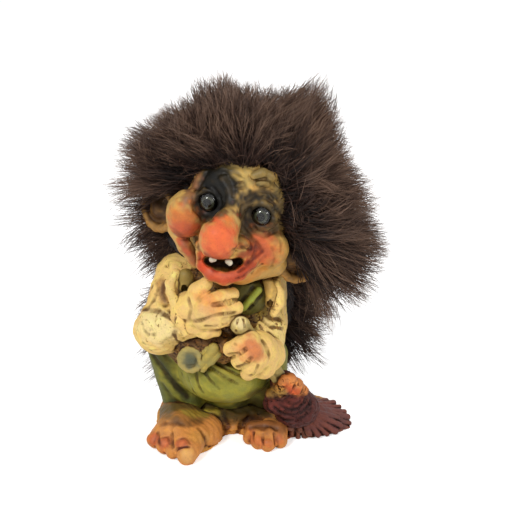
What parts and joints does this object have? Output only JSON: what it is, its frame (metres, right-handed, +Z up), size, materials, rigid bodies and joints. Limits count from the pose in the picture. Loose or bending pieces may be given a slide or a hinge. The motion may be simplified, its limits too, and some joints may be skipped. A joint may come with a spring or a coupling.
{
  "type": "folk troll figurine",
  "caption": "Cast and painted folk troll with a bulbous nose, plastic eyes, shaggy fur wig, dungarees and a besom broom, standing on a moulded plinth.",
  "frame": {"origin": "on the floor at the underside of the plinth, under the figure's weight", "axes": "+Z up, -Y towards the front that the feet and the open side of the plinth face, +X towards the figure's left, where the broom rests"},
  "size_m": [0.1, 0.0774, 0.1337],
  "materials": {
    "painted_ground": "cast rubber, hand painted in brown and olive, satin",
    "filler_plug": "moulded plug, matt",
    "filler_foam": "set foam, matt",
    "wood_dowel": "bare birch, matt",
    "painted_skin": "cast rubber, hand painted ochre with rosy patches and a brown wash, satin",
    "painted_green": "cast rubber, hand painted green with dark creases, satin",
    "painted_waistband": "cast rubber, hand painted dark brown, satin",
    "painted_button": "cast rubber, hand painted pale green, satin",
    "painted_shirt": "cast rubber, hand painted cream with an ochre wash, satin",
    "eye_black": "moulded black plastic, gloss",
    "eye_clear": "clear moulded cap, gloss",
    "painted_tooth": "cast rubber, painted off-white, satin",
    "painted_stick": "cast rubber, painted olive as a bare stick, satin",
    "painted_binding": "cast rubber, painted maroon and orange, satin",
    "painted_twigs": "cast rubber, painted maroon brown, satin",
    "wig_backing_cloth": "woven backing, matt",
    "wig_fur": "long synthetic pile, dark brown with lighter tips"
  },
  "bodies": {
    "root": {"plinth": "painted_ground", "fill_plug": "filler_plug", "filler_core": "filler_foam", "neck_dowel": "wood_dowel", "right_foot": "painted_skin", "left_foot": "painted_skin", "trousers": "painted_green", "waistband": "painted_waistband", "brace_button": "painted_button", "button_loop": "painted_button", "bib": "painted_green", "right_brace": "painted_green", "left_brace": "painted_green", "shirt": "painted_shirt", "right_sleeve": "painted_shirt", "left_sleeve": "painted_shirt", "right_hand": "painted_skin", "left_hand": "painted_skin", "head": "painted_skin", "right_ear": "painted_skin", "left_ear": "painted_skin", "right_eyeball": "eye_black", "left_eyeball": "eye_black", "right_eye_cap": "eye_clear", "left_eye_cap": "eye_clear", "right_tooth": "painted_tooth", "left_tooth": "painted_tooth", "broom_handle": "painted_stick", "broom_binding": "painted_binding", "broom_twigs": "painted_twigs", "wig_backing": "wig_backing_cloth", "wig_pile": "wig_fur"}
  },
  "joints": []
}
